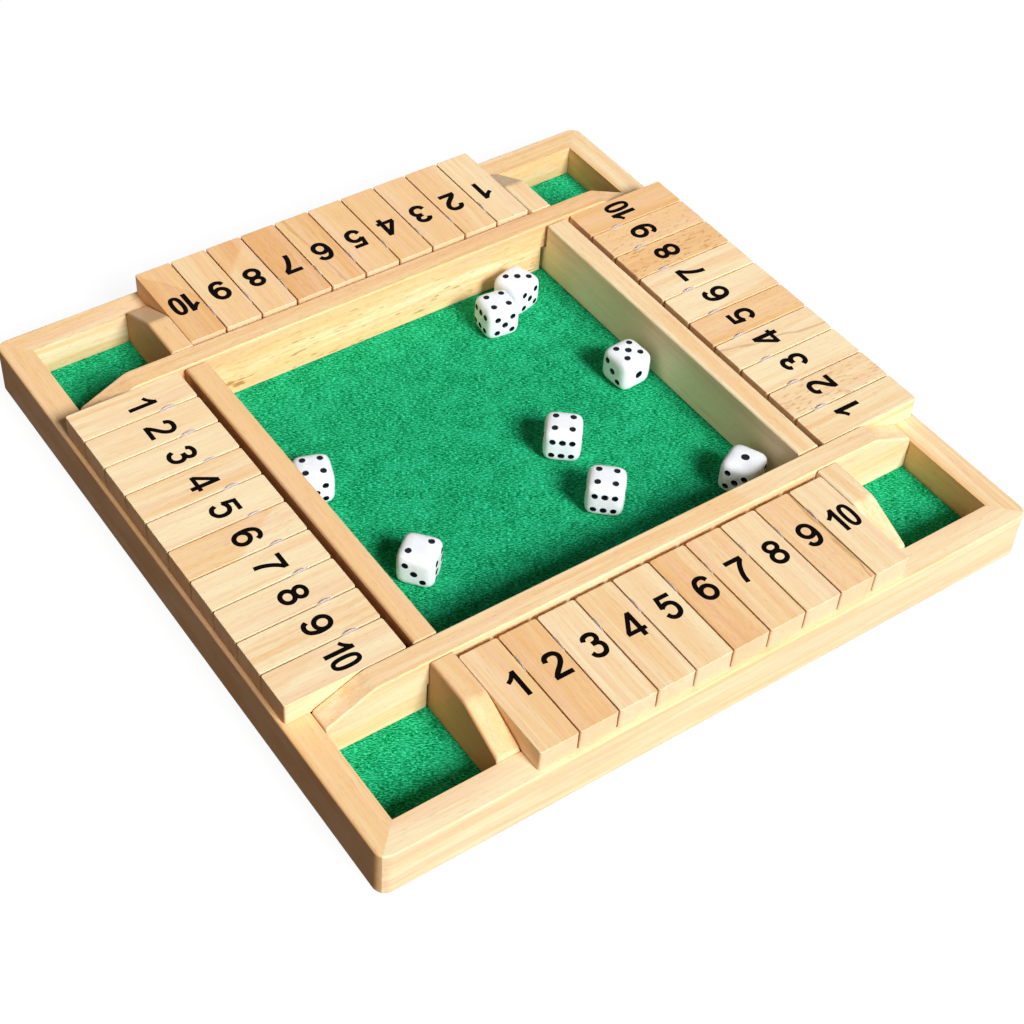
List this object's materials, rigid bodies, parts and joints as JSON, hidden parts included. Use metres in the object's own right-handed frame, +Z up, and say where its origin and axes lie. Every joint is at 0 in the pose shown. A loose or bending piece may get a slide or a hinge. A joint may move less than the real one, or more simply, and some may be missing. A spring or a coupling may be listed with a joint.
{
  "type": "shut the box game",
  "caption": "Square wooden shut the box tray for four players: hinged number tiles on every side round a felted playing square with dice.",
  "frame": {"origin": "on the table, under the middle of the square tray", "axes": "+X right and +Y back along the sides of the tray, with the front row of tiles at -Y, +Z up"},
  "size_m": [0.32, 0.32, 0.0351],
  "materials": {
    "rail_wood": "satin varnish",
    "board_wood": "satin varnish",
    "tile_wood": "satin varnish",
    "green_felt": "napped felt",
    "rod_steel": "drawn",
    "die_plastic": "polished",
    "panel_wood": "bare plywood",
    "washer_nylon": "natural nylon",
    "number_ink": "black print",
    "pip_paint": "gloss paint"
  },
  "bodies": {
    "tray": {"front_rail": "rail_wood", "front_board": "board_wood", "front_rod": "rod_steel", "right_rail": "rail_wood", "right_board": "board_wood", "right_rod": "rod_steel", "back_rail": "rail_wood", "back_board": "board_wood", "back_rod": "rod_steel", "left_rail": "rail_wood", "left_board": "board_wood", "left_rod": "rod_steel", "felted_base": "green_felt"},
    "front_tile_01": {"front_tile_01": "tile_wood"},
    "front_tile_02": {"front_tile_02": "tile_wood"},
    "front_tile_03": {"front_tile_03": "tile_wood"},
    "front_tile_04": {"front_tile_04": "tile_wood"},
    "front_tile_05": {"front_tile_05": "tile_wood"},
    "front_tile_06": {"front_tile_06": "tile_wood"},
    "front_tile_07": {"front_tile_07": "tile_wood"},
    "front_tile_08": {"front_tile_08": "tile_wood"},
    "front_tile_09": {"front_tile_09": "tile_wood"},
    "front_tile_10": {"front_tile_10": "tile_wood"},
    "right_tile_01": {"right_tile_01": "tile_wood"},
    "right_tile_02": {"right_tile_02": "tile_wood"},
    "right_tile_03": {"right_tile_03": "tile_wood"},
    "right_tile_04": {"right_tile_04": "tile_wood"},
    "right_tile_05": {"right_tile_05": "tile_wood"},
    "right_tile_06": {"right_tile_06": "tile_wood"},
    "right_tile_07": {"right_tile_07": "tile_wood"},
    "right_tile_08": {"right_tile_08": "tile_wood"},
    "right_tile_09": {"right_tile_09": "tile_wood"},
    "right_tile_10": {"right_tile_10": "tile_wood"},
    "back_tile_01": {"back_tile_01": "tile_wood"},
    "back_tile_02": {"back_tile_02": "tile_wood"},
    "back_tile_03": {"back_tile_03": "tile_wood"},
    "back_tile_04": {"back_tile_04": "tile_wood"},
    "back_tile_05": {"back_tile_05": "tile_wood"},
    "back_tile_06": {"back_tile_06": "tile_wood"},
    "back_tile_07": {"back_tile_07": "tile_wood"},
    "back_tile_08": {"back_tile_08": "tile_wood"},
    "back_tile_09": {"back_tile_09": "tile_wood"},
    "back_tile_10": {"back_tile_10": "tile_wood"},
    "left_tile_01": {"left_tile_01": "tile_wood"},
    "left_tile_02": {"left_tile_02": "tile_wood"},
    "left_tile_03": {"left_tile_03": "tile_wood"},
    "left_tile_04": {"left_tile_04": "tile_wood"},
    "left_tile_05": {"left_tile_05": "tile_wood"},
    "left_tile_06": {"left_tile_06": "tile_wood"},
    "left_tile_07": {"left_tile_07": "tile_wood"},
    "left_tile_08": {"left_tile_08": "tile_wood"},
    "left_tile_09": {"left_tile_09": "tile_wood"},
    "left_tile_10": {"left_tile_10": "tile_wood"},
    "die_1": {"die_1": "die_plastic"},
    "die_2": {"die_2": "die_plastic"},
    "die_3": {"die_3": "die_plastic"},
    "die_4": {"die_4": "die_plastic"},
    "die_5": {"die_5": "die_plastic"},
    "die_6": {"die_6": "die_plastic"},
    "die_7": {"die_7": "die_plastic"}
  },
  "joints": [
    {"name": "front_tile_01_hinge", "type": "hinge", "parent": "tray", "child": "front_tile_01", "pos_m": [-0.08181, -0.1189, 0.02865], "axis": [-1, 0, 0], "range_deg": [0, 128]},
    {"name": "front_tile_02_hinge", "type": "hinge", "parent": "tray", "child": "front_tile_02", "pos_m": [-0.06363, -0.1189, 0.02865], "axis": [-1, 0, 0], "range_deg": [0, 143]},
    {"name": "front_tile_03_hinge", "type": "hinge", "parent": "tray", "child": "front_tile_03", "pos_m": [-0.04545, -0.1189, 0.02865], "axis": [-1, 0, 0], "range_deg": [0, 143]},
    {"name": "front_tile_04_hinge", "type": "hinge", "parent": "tray", "child": "front_tile_04", "pos_m": [-0.02727, -0.1189, 0.02865], "axis": [-1, 0, 0], "range_deg": [0, 143]},
    {"name": "front_tile_05_hinge", "type": "hinge", "parent": "tray", "child": "front_tile_05", "pos_m": [-0.00909, -0.1189, 0.02865], "axis": [-1, 0, 0], "range_deg": [0, 143]},
    {"name": "front_tile_06_hinge", "type": "hinge", "parent": "tray", "child": "front_tile_06", "pos_m": [0.00909, -0.1189, 0.02865], "axis": [-1, 0, 0], "range_deg": [0, 143]},
    {"name": "front_tile_07_hinge", "type": "hinge", "parent": "tray", "child": "front_tile_07", "pos_m": [0.02727, -0.1189, 0.02865], "axis": [-1, 0, 0], "range_deg": [0, 143]},
    {"name": "front_tile_08_hinge", "type": "hinge", "parent": "tray", "child": "front_tile_08", "pos_m": [0.04545, -0.1189, 0.02865], "axis": [-1, 0, 0], "range_deg": [0, 143]},
    {"name": "front_tile_09_hinge", "type": "hinge", "parent": "tray", "child": "front_tile_09", "pos_m": [0.06363, -0.1189, 0.02865], "axis": [-1, 0, 0], "range_deg": [0, 143]},
    {"name": "front_tile_10_hinge", "type": "hinge", "parent": "tray", "child": "front_tile_10", "pos_m": [0.08181, -0.1189, 0.02865], "axis": [-1, 0, 0], "range_deg": [0, 143]},
    {"name": "right_tile_01_hinge", "type": "hinge", "parent": "tray", "child": "right_tile_01", "pos_m": [0.1189, -0.08181, 0.02865], "axis": [0, -1, 0], "range_deg": [0, 128]},
    {"name": "right_tile_02_hinge", "type": "hinge", "parent": "tray", "child": "right_tile_02", "pos_m": [0.1189, -0.06363, 0.02865], "axis": [0, -1, 0], "range_deg": [0, 143]},
    {"name": "right_tile_03_hinge", "type": "hinge", "parent": "tray", "child": "right_tile_03", "pos_m": [0.1189, -0.04545, 0.02865], "axis": [0, -1, 0], "range_deg": [0, 143]},
    {"name": "right_tile_04_hinge", "type": "hinge", "parent": "tray", "child": "right_tile_04", "pos_m": [0.1189, -0.02727, 0.02865], "axis": [0, -1, 0], "range_deg": [0, 143]},
    {"name": "right_tile_05_hinge", "type": "hinge", "parent": "tray", "child": "right_tile_05", "pos_m": [0.1189, -0.00909, 0.02865], "axis": [0, -1, 0], "range_deg": [0, 143]},
    {"name": "right_tile_06_hinge", "type": "hinge", "parent": "tray", "child": "right_tile_06", "pos_m": [0.1189, 0.00909, 0.02865], "axis": [0, -1, 0], "range_deg": [0, 143]},
    {"name": "right_tile_07_hinge", "type": "hinge", "parent": "tray", "child": "right_tile_07", "pos_m": [0.1189, 0.02727, 0.02865], "axis": [0, -1, 0], "range_deg": [0, 143]},
    {"name": "right_tile_08_hinge", "type": "hinge", "parent": "tray", "child": "right_tile_08", "pos_m": [0.1189, 0.04545, 0.02865], "axis": [0, -1, 0], "range_deg": [0, 143]},
    {"name": "right_tile_09_hinge", "type": "hinge", "parent": "tray", "child": "right_tile_09", "pos_m": [0.1189, 0.06363, 0.02865], "axis": [0, -1, 0], "range_deg": [0, 143]},
    {"name": "right_tile_10_hinge", "type": "hinge", "parent": "tray", "child": "right_tile_10", "pos_m": [0.1189, 0.08181, 0.02865], "axis": [0, -1, 0], "range_deg": [0, 143]},
    {"name": "back_tile_01_hinge", "type": "hinge", "parent": "tray", "child": "back_tile_01", "pos_m": [0.08181, 0.1189, 0.02865], "axis": [1, 0, 0], "range_deg": [0, 128]},
    {"name": "back_tile_02_hinge", "type": "hinge", "parent": "tray", "child": "back_tile_02", "pos_m": [0.06363, 0.1189, 0.02865], "axis": [1, 0, 0], "range_deg": [0, 143]},
    {"name": "back_tile_03_hinge", "type": "hinge", "parent": "tray", "child": "back_tile_03", "pos_m": [0.04545, 0.1189, 0.02865], "axis": [1, 0, 0], "range_deg": [0, 143]},
    {"name": "back_tile_04_hinge", "type": "hinge", "parent": "tray", "child": "back_tile_04", "pos_m": [0.02727, 0.1189, 0.02865], "axis": [1, 0, 0], "range_deg": [0, 143]},
    {"name": "back_tile_05_hinge", "type": "hinge", "parent": "tray", "child": "back_tile_05", "pos_m": [0.00909, 0.1189, 0.02865], "axis": [1, 0, 0], "range_deg": [0, 143]},
    {"name": "back_tile_06_hinge", "type": "hinge", "parent": "tray", "child": "back_tile_06", "pos_m": [-0.00909, 0.1189, 0.02865], "axis": [1, 0, 0], "range_deg": [0, 143]},
    {"name": "back_tile_07_hinge", "type": "hinge", "parent": "tray", "child": "back_tile_07", "pos_m": [-0.02727, 0.1189, 0.02865], "axis": [1, 0, 0], "range_deg": [0, 143]},
    {"name": "back_tile_08_hinge", "type": "hinge", "parent": "tray", "child": "back_tile_08", "pos_m": [-0.04545, 0.1189, 0.02865], "axis": [1, 0, 0], "range_deg": [0, 143]},
    {"name": "back_tile_09_hinge", "type": "hinge", "parent": "tray", "child": "back_tile_09", "pos_m": [-0.06363, 0.1189, 0.02865], "axis": [1, 0, 0], "range_deg": [0, 143]},
    {"name": "back_tile_10_hinge", "type": "hinge", "parent": "tray", "child": "back_tile_10", "pos_m": [-0.08181, 0.1189, 0.02865], "axis": [1, 0, 0], "range_deg": [0, 143]},
    {"name": "left_tile_01_hinge", "type": "hinge", "parent": "tray", "child": "left_tile_01", "pos_m": [-0.1189, 0.08181, 0.02865], "axis": [0, 1, 0], "range_deg": [0, 128]},
    {"name": "left_tile_02_hinge", "type": "hinge", "parent": "tray", "child": "left_tile_02", "pos_m": [-0.1189, 0.06363, 0.02865], "axis": [0, 1, 0], "range_deg": [0, 143]},
    {"name": "left_tile_03_hinge", "type": "hinge", "parent": "tray", "child": "left_tile_03", "pos_m": [-0.1189, 0.04545, 0.02865], "axis": [0, 1, 0], "range_deg": [0, 143]},
    {"name": "left_tile_04_hinge", "type": "hinge", "parent": "tray", "child": "left_tile_04", "pos_m": [-0.1189, 0.02727, 0.02865], "axis": [0, 1, 0], "range_deg": [0, 143]},
    {"name": "left_tile_05_hinge", "type": "hinge", "parent": "tray", "child": "left_tile_05", "pos_m": [-0.1189, 0.00909, 0.02865], "axis": [0, 1, 0], "range_deg": [0, 143]},
    {"name": "left_tile_06_hinge", "type": "hinge", "parent": "tray", "child": "left_tile_06", "pos_m": [-0.1189, -0.00909, 0.02865], "axis": [0, 1, 0], "range_deg": [0, 143]},
    {"name": "left_tile_07_hinge", "type": "hinge", "parent": "tray", "child": "left_tile_07", "pos_m": [-0.1189, -0.02727, 0.02865], "axis": [0, 1, 0], "range_deg": [0, 143]},
    {"name": "left_tile_08_hinge", "type": "hinge", "parent": "tray", "child": "left_tile_08", "pos_m": [-0.1189, -0.04545, 0.02865], "axis": [0, 1, 0], "range_deg": [0, 143]},
    {"name": "left_tile_09_hinge", "type": "hinge", "parent": "tray", "child": "left_tile_09", "pos_m": [-0.1189, -0.06363, 0.02865], "axis": [0, 1, 0], "range_deg": [0, 143]},
    {"name": "left_tile_10_hinge", "type": "hinge", "parent": "tray", "child": "left_tile_10", "pos_m": [-0.1189, -0.08181, 0.02865], "axis": [0, 1, 0], "range_deg": [0, 143]},
    {"name": "die_1_lift", "type": "slide", "parent": "tray", "child": "die_1", "axis": [0, 0, 1], "range_m": [0, 0.06]},
    {"name": "die_2_lift", "type": "slide", "parent": "tray", "child": "die_2", "axis": [0, 0, 1], "range_m": [0, 0.06]},
    {"name": "die_3_lift", "type": "slide", "parent": "tray", "child": "die_3", "axis": [0, 0, 1], "range_m": [0, 0.06]},
    {"name": "die_4_lift", "type": "slide", "parent": "tray", "child": "die_4", "axis": [0, 0, 1], "range_m": [0, 0.06]},
    {"name": "die_5_lift", "type": "slide", "parent": "tray", "child": "die_5", "axis": [0, 0, 1], "range_m": [0, 0.06]},
    {"name": "die_6_lift", "type": "slide", "parent": "tray", "child": "die_6", "axis": [0, 0, 1], "range_m": [0, 0.06]},
    {"name": "die_7_lift", "type": "slide", "parent": "tray", "child": "die_7", "axis": [0, 0, 1], "range_m": [0, 0.06]}
  ]
}
